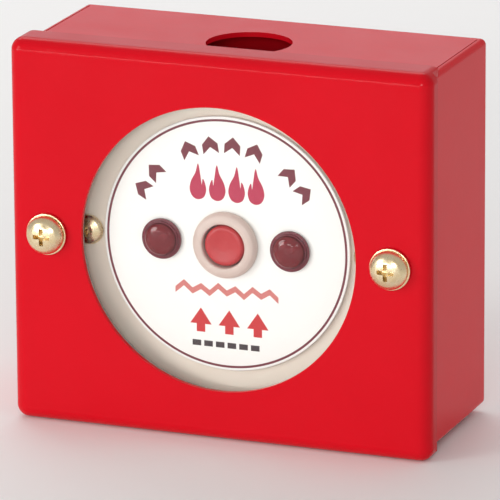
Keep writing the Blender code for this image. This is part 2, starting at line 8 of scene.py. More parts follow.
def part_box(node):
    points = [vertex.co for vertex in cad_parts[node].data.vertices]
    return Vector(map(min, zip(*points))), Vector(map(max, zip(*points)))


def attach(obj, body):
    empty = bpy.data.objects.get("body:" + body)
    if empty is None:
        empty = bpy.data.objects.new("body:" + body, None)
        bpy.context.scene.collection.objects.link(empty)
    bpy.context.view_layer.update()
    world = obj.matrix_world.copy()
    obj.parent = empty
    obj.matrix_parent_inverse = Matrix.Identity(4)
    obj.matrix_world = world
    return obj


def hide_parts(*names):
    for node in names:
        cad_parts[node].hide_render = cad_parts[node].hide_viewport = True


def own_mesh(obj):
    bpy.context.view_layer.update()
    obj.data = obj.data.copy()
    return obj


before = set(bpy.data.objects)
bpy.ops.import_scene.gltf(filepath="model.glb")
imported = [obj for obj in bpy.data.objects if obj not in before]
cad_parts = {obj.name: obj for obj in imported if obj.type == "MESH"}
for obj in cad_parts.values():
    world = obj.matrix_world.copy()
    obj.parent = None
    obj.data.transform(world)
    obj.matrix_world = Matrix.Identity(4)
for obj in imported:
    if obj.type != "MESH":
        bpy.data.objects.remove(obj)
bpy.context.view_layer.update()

MM = 0.001


def box_mm(node):
    """A CAD node's lowest and highest corner, in millimetres."""
    low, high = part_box(node)
    return low / MM, high / MM


def centre_mm(node):
    """The middle of a CAD node's box in millimetres, to the nearest micron."""
    low, high = box_mm(node)
    return tuple(round(value, 3) for value in (low + high) / 2)


# ---- sizes, read from the frame or named ---------------------------------------------------------
COVER_LOW, COVER_HIGH = box_mm("front_cover")
BOX_LOW, BOX_HIGH = box_mm("back_box")
LABEL_LOW, LABEL_HIGH = box_mm("label_disc")
COVER_FRONT, COVER_LIP = COVER_LOW.y, COVER_HIGH.y
LABEL_FRONT = LABEL_LOW.y
LABEL_RADIUS = LABEL_HIGH.x
SHEET = 1.2
OPENING_RADIUS = 35.0
BEND, SIDE_LIP_DEPTH = 3.2, 5.5
CONDUIT_Y, CONDUIT_RADIUS = -23.8, 10.4
COVER_SCREW_X = centre_mm("cover_screw_right")[0]
FASCIA_SCREW_X = centre_mm("fascia_screw_right")[0]
LAMP_X = centre_mm("lamp_right")[0]
CLIP_X = centre_mm("clip_nut_3")[0]
SLOT_X, SLOT_Z = 40.0, 31.0
SLOT_HALF_LENGTH, SLOT_HALF_WIDTH = 4.5, 2.6
SCREW_HOLE_RADIUS, SPIGOT_RADIUS = 2.9, 2.1
STUD_RADIUS, STUD_CLEARANCE = 1.5, 0.7
BARREL_RADIUS, LAMP_HOLE_RADIUS = 6.9, 4.7  # clearance holes for the button's barrel and the lamps
# the pieces that are swaged in the back wall, each through a hole of its own
SPIGOT_NODES = ["cover_pillar_left", "cover_pillar_right", "fascia_pillar_left", "fascia_pillar_right",
                "board_pillar_1", "board_pillar_2", "earth_stud", "bracket_rivet_1", "bracket_rivet_2"]
SIDES = ((-1, "left"), (1, "right"))
HEX_STEP = math.pi / 3


# ---- finishes ------------------------------------------------------------------------------------
class Finish:
    """A procedural material: a Principled shader fed by textures in the object's own space."""

    def __init__(self, name, colour, roughness, metallic=0.0, sockets=None):
        self.material = bpy.data.materials.new(name)
        self.material.use_nodes = True
        self.tree = self.material.node_tree
        self.shader = self.tree.nodes["Principled BSDF"]
        self.coords = self.tree.nodes.new("ShaderNodeTexCoord").outputs["Object"]
        self.colour = None
        self.normal = None
        self.shader.inputs["Base Color"].default_value = (*colour, 1.0)
        self.shader.inputs["Roughness"].default_value = roughness
        self.shader.inputs["Metallic"].default_value = metallic
        for socket, value in (sockets or {}).items():
            self.shader.inputs[socket].default_value = value
        self.material.diffuse_color = (*colour, 1.0)

    def node(self, kind, **values):
        made = self.tree.nodes.new(kind)
        for key, value in values.items():
            setattr(made, key, value)
        return made

    def link(self, source, target):
        self.tree.links.new(source, target)

    def stretched(self, stretch):
        if stretch is None:
            return self.coords
        mapping = self.node("ShaderNodeMapping")
        mapping.inputs["Scale"].default_value = stretch
        self.link(self.coords, mapping.inputs["Vector"])
        return mapping.outputs["Vector"]

    def noise(self, size, detail=3.0, stretch=None):
        """Noise whose features are about size millimetres across."""
        made = self.node("ShaderNodeTexNoise")
        made.inputs["Scale"].default_value = 1.0 / (size * MM)
        made.inputs["Detail"].default_value = detail
        made.inputs["Roughness"].default_value = 0.55
        self.link(self.stretched(stretch), made.inputs["Vector"])
        return made.outputs["Fac"]

    def cells(self, size):
        made = self.node("ShaderNodeTexVoronoi")
        made.inputs["Scale"].default_value = 1.0 / (size * MM)
        self.link(self.coords, made.inputs["Vector"])
        return made.outputs["Distance"]

    def remap(self, value, low, high, to_low, to_high):
        made = self.node("ShaderNodeMapRange")
        for socket, number in zip(("From Min", "From Max", "To Min", "To Max"), (low, high, to_low, to_high)):
            made.inputs[socket].default_value = number
        self.link(value, made.inputs["Value"])
        return made.outputs["Result"]

    def tint(self, mask, colour):
        """Shift the base colour towards another where the mask is high."""
        mix = self.node("ShaderNodeMix", data_type="RGBA")
        if self.colour is None:
            mix.inputs["A"].default_value = self.shader.inputs["Base Color"].default_value
        else:
            self.link(self.colour, mix.inputs["A"])
        mix.inputs["B"].default_value = (*colour, 1.0)
        self.link(mask, mix.inputs["Factor"])
        self.colour = mix.outputs["Result"]
        self.link(self.colour, self.shader.inputs["Base Color"])
        return self

    def rough(self, mask):
        self.link(mask, self.shader.inputs["Roughness"])
        return self

    def bump(self, height, depth):
        """Raise the surface by depth millimetres where the height is 1."""
        made = self.node("ShaderNodeBump")
        made.inputs["Distance"].default_value = depth * MM
        made.inputs["Strength"].default_value = 1.0
        self.link(height, made.inputs["Height"])
        if self.normal is not None:
            self.link(self.normal, made.inputs["Normal"])
        self.normal = made.outputs["Normal"]
        self.link(self.normal, self.shader.inputs["Normal"])
        return self

    def math(self, operation, *values):
        """A math node on outputs or plain numbers."""
        made = self.node("ShaderNodeMath", operation=operation)
        for index, value in enumerate(values):
            if isinstance(value, (int, float)):
                made.inputs[index].default_value = value
            else:
                self.link(value, made.inputs[index])
        return made.outputs["Value"]

    def near_edge(self, start, end):
        """0 to 1 as the height above or below the middle goes from start to end millimetres."""
        split = self.node("ShaderNodeSeparateXYZ")
        self.link(self.coords, split.inputs["Vector"])
        return self.remap(self.math("ABSOLUTE", split.outputs["Z"]), start * MM, end * MM, 0.0, 1.0)


def powder_coat(name, colour, deep, pale, gloss, peel, fold=None):
    """Gloss powder coat: orange peel of a given height, fine grain, faint clouding, specks of dust.

    The coat is lumpier over a fold, which starts fold millimetres above and below the middle.
    """
    made = Finish(name, colour, 0.2, sockets={"Specular IOR Level": gloss})
    made.tint(made.remap(made.noise(26.0, 3), 0.35, 0.7, 0.0, 0.55), deep)
    made.tint(made.remap(made.noise(3.5, 4), 0.55, 0.8, 0.0, 0.25), pale)
    made.rough(made.remap(made.noise(9.0, 4), 0.3, 0.7, 0.14, 0.24))
    made.bump(made.noise(2.6, 2), peel)
    made.bump(made.noise(0.9, 3), peel * 0.3)
    if fold:
        rise, fall = made.near_edge(fold - 1.0, fold + 0.6), made.near_edge(fold + 2.0, fold + 3.0)
        on_fold = made.math("SUBTRACT", rise, fall)
        made.bump(made.math("MULTIPLY", made.noise(3.0, 2), on_fold), 0.1)
    made.bump(made.remap(made.cells(7.0), 0.02, 0.05, 1.0, 0.0), 0.015)
    return made.material


def plated(name, colour, second, grain=(1.0, 1.0, 1.0), roughness=(0.24, 0.42)):
    """Plated metal: clouded colour, fine handling marks, uneven gloss."""
    made = Finish(name, colour, 0.3, 1.0)
    made.tint(made.remap(made.noise(1.6, 4), 0.35, 0.7, 0.0, 0.8), second)
    made.tint(made.remap(made.noise(0.5, 5, grain), 0.6, 0.8, 0.0, 0.45), tuple(c * 0.55 for c in colour))
    made.rough(made.remap(made.noise(0.7, 4, grain), 0.3, 0.7, *roughness))
    made.bump(made.noise(0.35, 3, grain), 0.006)
    return made.material


def moulded(name, colour, second, roughness):
    """Moulded plastic: a fine spark-eroded grain with slight colour drift."""
    made = Finish(name, colour, roughness)
    made.tint(made.remap(made.noise(4.0, 3), 0.35, 0.7, 0.0, 0.6), second)
    made.rough(made.remap(made.noise(1.5, 3), 0.3, 0.7, roughness * 0.85, roughness * 1.2))
    made.bump(made.noise(0.25, 2), 0.006)
    return made.material


def painted_white(name, colour, second, roughness):
    """Satin white: broad clouding, a few small darker marks, slightly uneven gloss."""
    made = Finish(name, colour, roughness)
    made.tint(made.remap(made.noise(12.0, 4), 0.35, 0.7, 0.0, 0.7), second)
    made.tint(made.remap(made.noise(0.9, 5), 0.68, 0.78, 0.0, 0.2), tuple(c * 0.8 for c in second))
    made.rough(made.remap(made.noise(5.0, 3), 0.3, 0.7, roughness * 0.85, roughness * 1.15))
    made.bump(made.noise(0.7, 3), 0.006)
    return made.material


def printed(name, colour, second):
    """Screen-printed ink: slightly uneven density and a soft gloss."""
    made = Finish(name, colour, 0.4)
    made.tint(made.remap(made.noise(0.6, 4), 0.45, 0.75, 0.0, 0.6), second)
    made.bump(made.noise(0.3, 2), 0.003)
    return made.material


def clear_glass(name):
    """Thin clear glass: light passes straight through, and it reflects more at a glancing angle."""
    made = Finish(name, (0.98, 1.0, 0.99), 0.02)
    clear = made.node("ShaderNodeBsdfTransparent")
    clear.inputs["Color"].default_value = (0.995, 1.0, 0.998, 1.0)
    gloss = made.node("ShaderNodeBsdfGlossy")
    gloss.inputs["Roughness"].default_value = 0.02
    facing = made.node("ShaderNodeLayerWeight")
    facing.inputs["Blend"].default_value = 0.5
    grazing = made.math("POWER", facing.outputs["Facing"], 5.0)
    bump = made.node("ShaderNodeBump")
    bump.inputs["Distance"].default_value = 0.004 * MM
    made.link(made.noise(18.0, 2), bump.inputs["Height"])
    made.link(bump.outputs["Normal"], gloss.inputs["Normal"])
    mix = made.node("ShaderNodeMixShader")
    made.link(made.remap(grazing, 0.0, 1.0, 0.02, 0.6), mix.inputs["Fac"])
    made.link(clear.outputs["BSDF"], mix.inputs[1])
    made.link(gloss.outputs["BSDF"], mix.inputs[2])
    made.link(mix.outputs["Shader"], made.tree.nodes["Material Output"].inputs["Surface"])
    made.tree.nodes.remove(made.shader)
    return made.material


def tinted_lens(name):
    """Dark red clear plastic."""
    made = Finish(name, (0.36, 0.008, 0.02), 0.08, sockets={
        "Transmission Weight": 0.55, "IOR": 1.49, "Coat Weight": 0.1, "Coat Roughness": 0.06})
    made.tint(made.remap(made.noise(2.0, 3), 0.4, 0.7, 0.0, 0.5), (0.26, 0.006, 0.02))
    made.bump(made.noise(1.2, 2), 0.006)
    return made.material


def foam(name):
    """Open-cell foam: dark pores in a matt skin."""
    made = Finish(name, (0.50, 0.47, 0.42), 0.95)
    made.tint(made.remap(made.cells(0.45), 0.1, 0.5, 0.0, 0.8), (0.30, 0.28, 0.25))
    made.bump(made.cells(0.45), 0.12)
    return made.material


def circuit_mask(name, colour, second):
    """Solder mask: a glossy green film of uneven depth."""
    made = Finish(name, colour, 0.3)
    made.tint(made.remap(made.noise(7.0, 3), 0.4, 0.7, 0.0, 0.6), second)
    made.bump(made.noise(0.5, 3), 0.01)
    return made.material


def backdrop_paint(name):
    """A plain pale backdrop with very faint clouding."""
    made = Finish(name, (0.92, 0.918, 0.912), 0.7, sockets={"Specular IOR Level": 0.2})
    made.tint(made.remap(made.noise(160.0, 2), 0.35, 0.7, 0.0, 0.5), (0.885, 0.883, 0.878))
    return made.material


COAT = powder_coat("cover_powder_coat", (0.62, 0.0033, 0.012), deep=(0.57, 0.003, 0.010),
                   pale=(0.66, 0.005, 0.016), gloss=0.12, peel=0.035, fold=COVER_HIGH.z - BEND)
BOX_COAT = powder_coat("box_powder_coat", (0.72, 0.005, 0.015), deep=(0.66, 0.0045, 0.013),
                       pale=(0.76, 0.008, 0.02), gloss=0.11, peel=0.03)
PLATE_PAINT = painted_white("fascia_paint", (0.90, 0.81, 0.70), (0.88, 0.78, 0.66), 0.42)
LABEL_FILM = painted_white("label_film", (0.97, 0.955, 0.925), (0.96, 0.94, 0.90), 0.34)
YELLOW = plated("yellow_passivated", (0.86, 0.68, 0.40), (0.92, 0.80, 0.56), (1.0, 0.25, 1.0), (0.22, 0.36))
ZINC = plated("zinc_plated", (0.66, 0.67, 0.69), (0.55, 0.57, 0.61))
BRASS = plated("bright_brass", (0.80, 0.60, 0.26), (0.70, 0.50, 0.20), (1.0, 0.3, 1.0))
STEEL_WIRE = plated("spring_wire", (0.60, 0.60, 0.61), (0.45, 0.45, 0.47))
SOLDER = plated("solder", (0.70, 0.71, 0.73), (0.60, 0.61, 0.64), roughness=(0.15, 0.3))
GLASS = clear_glass("clear_glass")
LENS = tinted_lens("lamp_lens")
LAMP_SHELL = moulded("lamp_shell", (0.17, 0.012, 0.025), (0.11, 0.008, 0.018), 0.22)
COLLAR = moulded("collar_plastic", (0.70, 0.55, 0.49), (0.64, 0.49, 0.43), 0.4)
BUTTON = moulded("button_plastic", (0.54, 0.03, 0.035), (0.46, 0.02, 0.026), 0.36)
BLACK = moulded("black_plastic", (0.028, 0.028, 0.03), (0.045, 0.045, 0.048), 0.42)
WHITE_PLASTIC = moulded("white_plastic", (0.82, 0.80, 0.75), (0.76, 0.73, 0.67), 0.4)
TERMINAL = moulded("terminal_plastic", (0.035, 0.30, 0.12), (0.025, 0.22, 0.09), 0.42)
WIRE_RED = moulded("red_insulation", (0.55, 0.022, 0.025), (0.45, 0.015, 0.018), 0.38)
WIRE_BLACK = moulded("black_insulation", (0.02, 0.02, 0.022), (0.035, 0.035, 0.038), 0.38)
RESISTOR = moulded("resistor_lacquer", (0.70, 0.52, 0.32), (0.62, 0.44, 0.26), 0.35)
FOAM = foam("foam_gasket")
MASK = circuit_mask("solder_mask", (0.02, 0.16, 0.055), (0.012, 0.11, 0.04))
MASK_OVER_COPPER = circuit_mask("mask_over_copper", (0.07, 0.27, 0.09), (0.05, 0.22, 0.07))
INK_MAROON = printed("maroon_ink", (0.17, 0.016, 0.032), (0.22, 0.03, 0.05))
INK_CRIMSON = printed("crimson_ink", (0.50, 0.022, 0.075), (0.42, 0.015, 0.055))
INK_PALE = printed("pale_red_ink", (0.66, 0.20, 0.18), (0.58, 0.13, 0.13))
INK_RED = printed("red_ink", (0.62, 0.022, 0.025), (0.52, 0.016, 0.02))
INK_DARK = printed("dark_ink", (0.045, 0.03, 0.035), (0.08, 0.05, 0.055))


# ---- shape helpers -------------------------------------------------------------------------------
def finish_piece(piece, body, material, replaces=()):
    """Give a piece its finish, its body and the CAD nodes that it stands for."""
    piece.data.materials.clear()
    piece.data.materials.append(material)
    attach(piece, body)
    if replaces:
        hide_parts(*replaces)
    return piece


def add_object(name, data):
    """A new object of a mesh, curve, light or camera."""
    made = bpy.data.objects.new(name, data)
    bpy.context.scene.collection.objects.link(made)
    return made


def mesh_of(bm, name):
    """The finished mesh of a bmesh, with its faces pointing out."""
    bmesh.ops.recalc_face_normals(bm, faces=bm.faces)
    mesh = bpy.data.meshes.new(name)
    bm.to_mesh(mesh)
    bm.free()
    return mesh


def shade(piece, angle=35.0):
    """Smooth shading with hard edges over the angle, and flat faces kept flat."""
    piece.data.shade_smooth()
    piece.data.set_sharp_from_angle(angle=math.radians(angle))
    return piece


def soften(piece, width, segments=2, angle=38.0):
    """Round every sharp edge a little, as a real edge is."""
    piece.data.shade_smooth()
    bevel = piece.modifiers.new("edge_radius", "BEVEL")
    bevel.width = width * MM
    bevel.segments = segments
    bevel.limit_method = "ANGLE"
    bevel.angle_limit = math.radians(angle)
    bevel.harden_normals = True
    even = piece.modifiers.new("even_faces", "WEIGHTED_NORMAL")
    even.keep_sharp = True
    return piece


def settle(piece):
    """Apply all modifiers to a piece made here."""
    depsgraph = bpy.context.evaluated_depsgraph_get()
    depsgraph.update()
    mesh = bpy.data.meshes.new_from_object(piece.evaluated_get(depsgraph))
    piece.modifiers.clear()
    piece.data = mesh
    return piece


def carve(piece, cutters, operation="DIFFERENCE"):
    """Cut the cutters away from a piece, or join them to it, and remove them."""
    for cutter in cutters:
        boolean = piece.modifiers.new("carve", "BOOLEAN")
        boolean.operation = operation
        boolean.solver = "EXACT"
        boolean.object = cutter
    settle(piece)
    for cutter in cutters:
        bpy.data.objects.remove(cutter)
    return piece


def block(name, low, high, radius=0.0, segments=4, picks=None):
    """A block between two corners. picks(middle, direction) chooses its round edges."""
    bm = bmesh.new()
    bmesh.ops.create_cube(bm, size=1.0)
    for vertex in bm.verts:
        vertex.co = Vector([(a + b) / 2 + c * (b - a) for a, b, c in zip(low, high, vertex.co)])
    if radius:
        edges = []
        for edge in bm.edges:
            a, b = (v.co for v in edge.verts)
            if picks is None or picks((a + b) / 2, (b - a).normalized()):
                edges.append(edge)
        bmesh.ops.bevel(bm, geom=edges, offset=radius, segments=segments, profile=0.5, affect="EDGES")
    bmesh.ops.scale(bm, vec=(MM, MM, MM), verts=bm.verts)
    return add_object(name, mesh_of(bm, name))


def along_y(middle, direction):
    """Picks the edges that run front to back."""
    return abs(direction.y) > 0.9


def fillet(points, radius, closed=False):
    """A line of points with its corners rounded."""
    rounded = []
    count, segments = len(points), 3
    for index, point in enumerate(points):
        if not closed and index in (0, count - 1):
            rounded.append(tuple(point))
            continue
        before, here, after = (Vector(points[(index + k) % count]) for k in (-1, 0, 1))
        to_before, to_after = before - here, after - here
        reach = min(radius, to_before.length * 0.45, to_after.length * 0.45)
        start, end = here + to_before.normalized() * reach, here + to_after.normalized() * reach
        for step in range(segments + 1):
            t = step / segments
            rounded.append(tuple(start * (1 - t) ** 2 + here * 2 * t * (1 - t) + end * t * t))
    return rounded


def lathe(name, profile, centre=(0.0, 0.0), edge=0.15, steps=72, ring=False, axis="Y"):
    """A shape turned about a line along Y (or Z) through the centre. The profile holds (radius, place)."""
    points = fillet(profile, edge, closed=ring) if edge else [tuple(p) for p in profile]
    bm = bmesh.new()
    rows = []
    for radius, place in points:
        row = []
        for step in range(1 if radius < 1e-6 else steps):
            turn = 2 * math.pi * step / steps
            across, up = radius * math.cos(turn), radius * math.sin(turn)
            if axis == "Y":
                co = (centre[0] + across, place, centre[1] + up)
            else:
                co = (centre[0] + across, centre[1] + up, place)
            row.append(bm.verts.new(Vector(co) * MM))
        rows.append(row)
    pairs = list(zip(rows, rows[1:])) + ([(rows[-1], rows[0])] if ring else [])
    for a, b in pairs:
        for step in range(steps):
            after = (step + 1) % steps
            corners = [a[step % len(a)], a[after % len(a)], b[after % len(b)], b[step % len(b)]]
            unique = list(dict.fromkeys(corners))
            if len(unique) > 2:
                bm.faces.new(unique)
    return shade(add_object(name, mesh_of(bm, name)), 40.0)


def drill(radius, ends, centre=(0.0, 0.0), steps=40, axis="Y"):
    """A plain round cutter."""
    low, high = ends
    return lathe("drill", [(0.0, low), (radius, low), (radius, high), (0.0, high)], centre, 0.0, steps,
                 axis=axis)


def extruded(name, outline, ends):
    """An outline in x and z, given thickness between two places along y."""
    bm = bmesh.new()
    rows = [[bm.verts.new(Vector((x, y, z)) * MM) for x, z in outline] for y in ends]
    for row in rows:
        bm.faces.new(row)
    for step in range(len(outline)):
        after = (step + 1) % len(outline)
        bm.faces.new([rows[0][step], rows[0][after], rows[1][after], rows[1][step]])
    return add_object(name, mesh_of(bm, name))


def nut(name, node, centre, bore, body="main"):
    """A zinc hexagon nut in a CAD nut's place, with chamfered corners and a countersunk bore."""
    low, high = box_mm(node)
    front, back = low.y, high.y
    half_flats = round(high.x - low.x, 3) / 2
    corner = half_flats / math.cos(HEX_STEP / 2)
    turns = [HEX_STEP * (step + 0.5) for step in range(6)]
    outline = [(centre[0] + corner * math.cos(turn), centre[1] + corner * math.sin(turn)) for turn in turns]
    made = extruded(name, outline, (front, back))
    slope = (corner - half_flats) * 0.55
    flat, rim = half_flats - 0.05, corner + 0.05
    envelope = lathe("envelope", [(0.0, front), (flat, front), (rim, front + slope), (rim, back - slope),
                                  (flat, back), (0.0, back)], centre, 0.0, 48)
    carve(made, [envelope], "INTERSECT")
    sink = min(0.35, (back - front) * 0.2)
    wide = bore + sink
    bore_cut = lathe("bore", [(0.0, front - 1.0), (wide, front - 1.0), (wide, front), (bore, front + sink),
                              (bore, back - sink), (wide, back), (wide, back + 1.0), (0.0, back + 1.0)],
                     centre, 0.0, 40)
    carve(made, [bore_cut])
    return finish_piece(soften(made, 0.08), body, ZINC, [node])


def threaded(name, centre, ends, major, minor, pitch, point=0.0):
    """A rod along Y with a right-handed helical thread, for a screw whose head faces -Y."""
    front, back = ends
    rows_per_pitch, steps = 8, 36
    count = int((back - front) / pitch * rows_per_pitch)
    bm = bmesh.new()
    rows = []
    for row_number in range(count + 1):
        y = front + (back - front) * row_number / count
        row = []
        for step in range(steps):
            turn = 2 * math.pi * step / steps
            phase = ((y - front) / pitch + step / steps) % 1.0
            crest = 1.0 - abs(phase * 2 - 1.0)
            fade = min(1.0, (back - y) / pitch, (y - front) / pitch * 2)
            radius = minor + (major - minor) * min(1.0, crest * 1.35) * fade
            if point and back - y < point:
                radius *= 0.78 + 0.22 * (back - y) / point
            row.append(bm.verts.new(Vector((centre[0] + radius * math.cos(turn), y,
                                            centre[1] + radius * math.sin(turn))) * MM))
        rows.append(row)
    for a, b in zip(rows, rows[1:]):
        for step in range(steps):
            after = (step + 1) % steps
            bm.faces.new([a[step], a[after], b[after], b[step]])
    bm.faces.new(rows[0])
    bm.faces.new(rows[-1])
    return shade(add_object(name, mesh_of(bm, name)), 60.0)


def cross_cutters(centre, face, width, arm, depth):
    """A Phillips recess: two tapering arms that cross, open at y = face."""
    made = []
    for half_x, half_z in ((width / 2, arm / 2), (arm / 2, width / 2)):
        bm = bmesh.new()
        bmesh.ops.create_cube(bm, size=2.0)
        for vertex in bm.verts:
            deep = vertex.co.y > 0
            shrink = 0.55 if deep else 1.0
            vertex.co = Vector((centre[0] + vertex.co.x * half_x * shrink, face + (depth if deep else -1.0),
                                centre[1] + vertex.co.z * half_z * shrink))
        bmesh.ops.scale(bm, vec=(MM, MM, MM), verts=bm.verts)
        made.append(add_object("cross", mesh_of(bm, "cross")))
    return made


def tube(name, points, radius):
    """A round wire through points, as a mesh."""
    curve = bpy.data.curves.new(name, "CURVE")
    curve.dimensions = "3D"
    curve.bevel_depth = radius * MM
    curve.bevel_resolution = 6
    curve.use_fill_caps = True
    spline = curve.splines.new("POLY")
    spline.points.add(len(points) - 1)
    for index, point in enumerate(points):
        spline.points[index].co = (*(c * MM for c in point), 1.0)
    temporary = add_object(name + "_route", curve)
    depsgraph = bpy.context.evaluated_depsgraph_get()
    depsgraph.update()
    mesh = bpy.data.meshes.new_from_object(temporary.evaluated_get(depsgraph))
    bpy.data.objects.remove(temporary)
    return shade(add_object(name, mesh), 50.0)


def keep_node(node, material, edge, segments=2):
    """Show a CAD node itself: rounded edges and a better finish, with its mesh left as it is."""
    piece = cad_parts[node]
    for index in range(len(piece.data.materials)):
        piece.data.materials[index] = material
    if not piece.data.materials:
        piece.data.materials.append(material)
    weld = piece.modifiers.new("weld", "WELD")
    weld.merge_threshold = 0.004 * MM
    flat = piece.modifiers.new("join_flat_faces", "DECIMATE")
    flat.decimate_type = "DISSOLVE"
    flat.angle_limit = math.radians(0.6)
    soften(piece, edge, segments)


# ---- cover ---------------------------------------------------------------------------------------
def cover():
    """The folded cover: soft bends, side lips cut back, a deburred opening and the welded clip studs."""
    half_x, half_z = COVER_HIGH.x, COVER_HIGH.z
    lip_middle = (COVER_FRONT + COVER_LIP) / 2

    def bends(middle, direction):
        return abs(direction.y) > 0.9 or middle.y < lip_middle

    shell = block("cover_shell", COVER_LOW, (half_x, COVER_LIP, half_z), BEND, 10, bends)
    inside = COVER_FRONT + SHEET
    cutters = [block("hollow", (-half_x + SHEET, inside, -half_z + SHEET),
                     (half_x - SHEET, COVER_LIP + 5.0, half_z - SHEET), BEND - SHEET, 6, bends)]
    for side, _ in SIDES:
        low, high = sorted((side * (half_x - SHEET - 0.2), side * (half_x + 1.0)))
        cutters.append(block("side_lip_end", (low, COVER_FRONT + SIDE_LIP_DEPTH, -half_z - 1.0),
                             (high, COVER_LIP + 1.0, half_z + 1.0)))
    through = (COVER_FRONT - 2.0, inside + 2.0)
    cutters.append(drill(OPENING_RADIUS, through, steps=160))
    for side, _ in SIDES:
        cutters.append(drill(SCREW_HOLE_RADIUS, through, (side * COVER_SCREW_X, 0.0)))
    carve(shell, cutters)
    tip = box_mm("fascia_plate")[0].y - STUD_CLEARANCE
    profile = [(0.0, inside - 0.5), (STUD_RADIUS, inside - 0.5), (STUD_RADIUS, tip - 0.3),
               (STUD_RADIUS - 0.3, tip), (0.0, tip)]
    studs = [lathe("stud", profile, (side * CLIP_X, end * CLIP_X), 0.0, 28)
             for side in (-1, 1) for end in (-1, 1)]
    carve(shell, studs, "UNION")
    soften(shell, 0.22, 3, 50.0)
    finish_piece(shell, "cover", COAT, ["front_cover"])


# ---- back box ------------------------------------------------------------------------------------
def back_box():
    """The folded tray, with its entry, wall slots and open corner seams."""
    half_x, half_z, front = BOX_HIGH.x, BOX_HIGH.z, BOX_LOW.y

    def bends(middle, direction):
        return abs(direction.y) > 0.9 or middle.y > front / 4

    tray = block("box_shell", BOX_LOW, (half_x, 0.0, half_z), 1.5, 8, bends)
    inner_x, inner_z = half_x - SHEET, half_z - SHEET
    cutters = [block("hollow", (-inner_x, front - 5.0, -inner_z), (inner_x, -SHEET, inner_z), 0.5, 4, bends)]
    for end in (-1, 1):
        low, high = sorted((end * (half_z - 0.3), end * (half_z + 1.0)))
        cutters.append(block("joggle", (-half_x - 1.0, front - 1.0, low),
                             (half_x + 1.0, COVER_LIP + 0.4, high)))
    cutters.append(drill(CONDUIT_RADIUS, (half_z - 3.0, half_z + 3.0), (0.0, CONDUIT_Y), 96, "Z"))
    for side in (-1, 1):
        for end in (-1, 1):
            x, z = side * SLOT_X, end * SLOT_Z
            cutters.append(block("slot", (x - SLOT_HALF_LENGTH, -4.0, z - SLOT_HALF_WIDTH),
                                 (x + SLOT_HALF_LENGTH, 3.0, z + SLOT_HALF_WIDTH),
                                 SLOT_HALF_WIDTH - 0.05, 8, along_y))
            seam_x, seam_z = side * (half_x - 1.75), end * half_z
            cutters.append(block("seam", (seam_x - 0.15, front - 2.0, seam_z - 0.5),
                                 (seam_x + 0.15, -2.5, seam_z + 0.5)))
    for node in SPIGOT_NODES:
        x, _, z = centre_mm(node)
        cutters.append(drill(SPIGOT_RADIUS, (-4.0, 2.0), (x, z), 36))
    carve(tray, cutters)
    soften(tray, 0.12, 2, 50.0)
    finish_piece(tray, "main", BOX_COAT, ["back_box"])


# ---- fascia --------------------------------------------------------------------------------------
PRINT = 0.05  # how far the ink stands off the label
SINK = 0.02   # how far it reaches into the label
RING_RADIUS, RING_WIDTH = 30.2, 0.55
CHEVRON_RADIUS, CHEVRON_SIZE = 24.6, 1.18
CHEVRON_DEGREES = (151, 138, 113, 99.5, 86, 72.5, 49, 36)
FLAME_COUNT, FLAME_START, FLAME_PITCH = 4, -7.2, 4.95
FLAME_Z, FLAME_WIDTH, FLAME_HEIGHT = 11.3, 5.0, 8.0
CRACK_TEETH, CRACK_HALF_LENGTH, CRACK_Z = 12, 13.2, -11.6
CRACK_SWING, CRACK_HALF_WIDTH = 1.1, 0.75
ARROW_SHIFTS, ARROW_SQUEEZE = (-3.4, 3.9, 11.2), 0.72
DASH_COUNT, DASH_START, DASH_PITCH, DASH_LENGTH = 6, -8.9, 3.0, 2.2
DASH_LOW, DASH_HIGH = -25.9, -24.5


def print_shape(name, outline, material, surface=LABEL_FRONT):
    """A printed shape: an outline in x and z, a little proud of a surface that faces forward."""
    made = extruded(name, outline, (surface + SINK, surface - PRINT))
    return finish_piece(made, "main", material)


def turned_points(points, centre, angle, size):
    """An outline scaled, turned about its own origin and moved to the centre."""
    c, s = math.cos(angle), math.sin(angle)
    return [(centre[0] + (x * c - z * s) * size, centre[1] + (x * s + z * c) * size) for x, z in points]


def closed_curve(stops):
    """A smooth closed outline through the stops."""
    count, per_span = len(stops), 6
    points = []
    for index in range(count):
        a, b, c, d = (Vector(stops[(index + k) % count]) for k in (-1, 0, 1, 2))
        for step in range(per_span):
            t = step / per_span
            points.append(tuple(0.5 * (2 * b + (c - a) * t + (2 * a - 5 * b + 4 * c - d) * t**2
                                       + (3 * b - a - 3 * c + d) * t**3)))
    return points


# one tongue of flame in a unit box: a tip that leans, a hollow flank and a full belly
FLAME = [(0.02, 1.0), (-0.12, 0.72), (-0.34, 0.46), (-0.42, 0.2), (-0.28, -0.02), (0.0, -0.1), (0.3, -0.02),
         (0.42, 0.2), (0.36, 0.42), (0.25, 0.54), (0.2, 0.36), (0.14, 0.6)]


